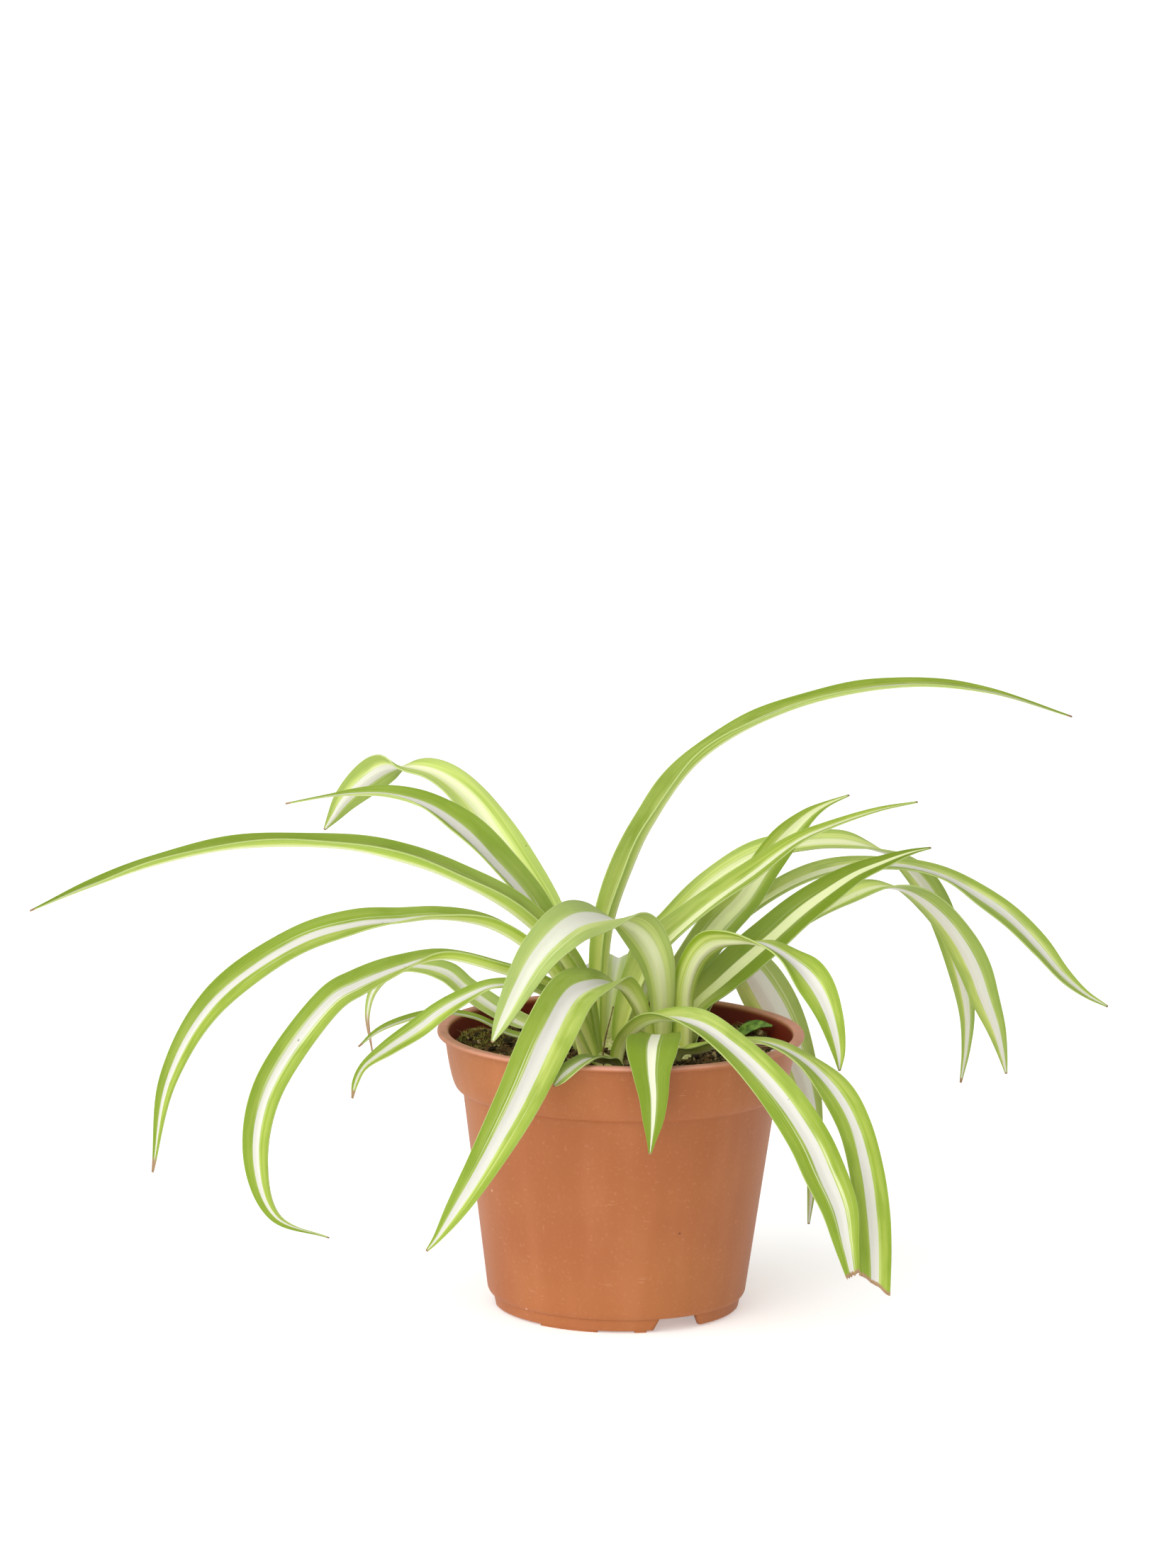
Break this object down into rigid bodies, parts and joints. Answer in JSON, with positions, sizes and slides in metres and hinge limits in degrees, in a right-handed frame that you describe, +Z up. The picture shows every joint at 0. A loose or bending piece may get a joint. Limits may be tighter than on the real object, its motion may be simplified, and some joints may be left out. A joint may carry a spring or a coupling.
{
  "type": "potted spider plant",
  "caption": "Arching spider plant with long green and white striped leaves in a round terracotta-coloured plastic nursery pot filled with potting mix.",
  "frame": {"origin": "centre of the pot's underside, on the pot's axis at the ground", "axes": "+Z up along the pot's axis, +X to the right of the front view, towards the tallest leaf's tip, and -Y towards the viewer"},
  "size_m": [0.3567, 0.1932, 0.2038],
  "materials": {
    "pot_terracotta": "satin",
    "potting_mix": "matte",
    "crown_pale": "satin",
    "leaf_variegated": "satin",
    "dry_stalk": "matte",
    "weed_green": "satin",
    "bark": "matte",
    "perlite": "matte"
  },
  "bodies": {
    "root": {"bark_chip": "bark", "crown_back_left": "crown_pale", "crown_back_right": "crown_pale", "crown_front_left": "crown_pale", "crown_front_right": "crown_pale", "dry_stalk": "dry_stalk", "leaf_back_left_hidden": "leaf_variegated", "leaf_back_left_tall": "leaf_variegated", "leaf_back_right_droop": "leaf_variegated", "leaf_back_right_hang": "leaf_variegated", "leaf_back_right_hidden": "leaf_variegated", "leaf_back_right_inner": "leaf_variegated", "leaf_back_right_outer": "leaf_variegated", "leaf_back_short": "leaf_variegated", "leaf_front_left_high": "leaf_variegated", "leaf_front_left_long": "leaf_variegated", "leaf_front_left_short": "leaf_variegated", "leaf_front_right_long": "leaf_variegated", "leaf_front_right_outer": "leaf_variegated", "leaf_front_short": "leaf_variegated", "leaf_left_arch_lower": "leaf_variegated", "leaf_left_arch_upper": "leaf_variegated", "leaf_left_back_low": "leaf_variegated", "leaf_left_front_low": "leaf_variegated", "leaf_left_long": "leaf_variegated", "leaf_left_tall": "leaf_variegated", "leaf_left_thin": "leaf_variegated", "leaf_right_arch_near": "leaf_variegated", "leaf_right_high_spear": "leaf_variegated", "leaf_right_spear": "leaf_variegated", "leaf_right_steep_spear": "leaf_variegated", "leaf_right_tallest": "leaf_variegated", "perlite_grain": "perlite", "pot": "pot_terracotta", "soil": "potting_mix", "weed_leaf": "weed_green"}
  },
  "joints": []
}
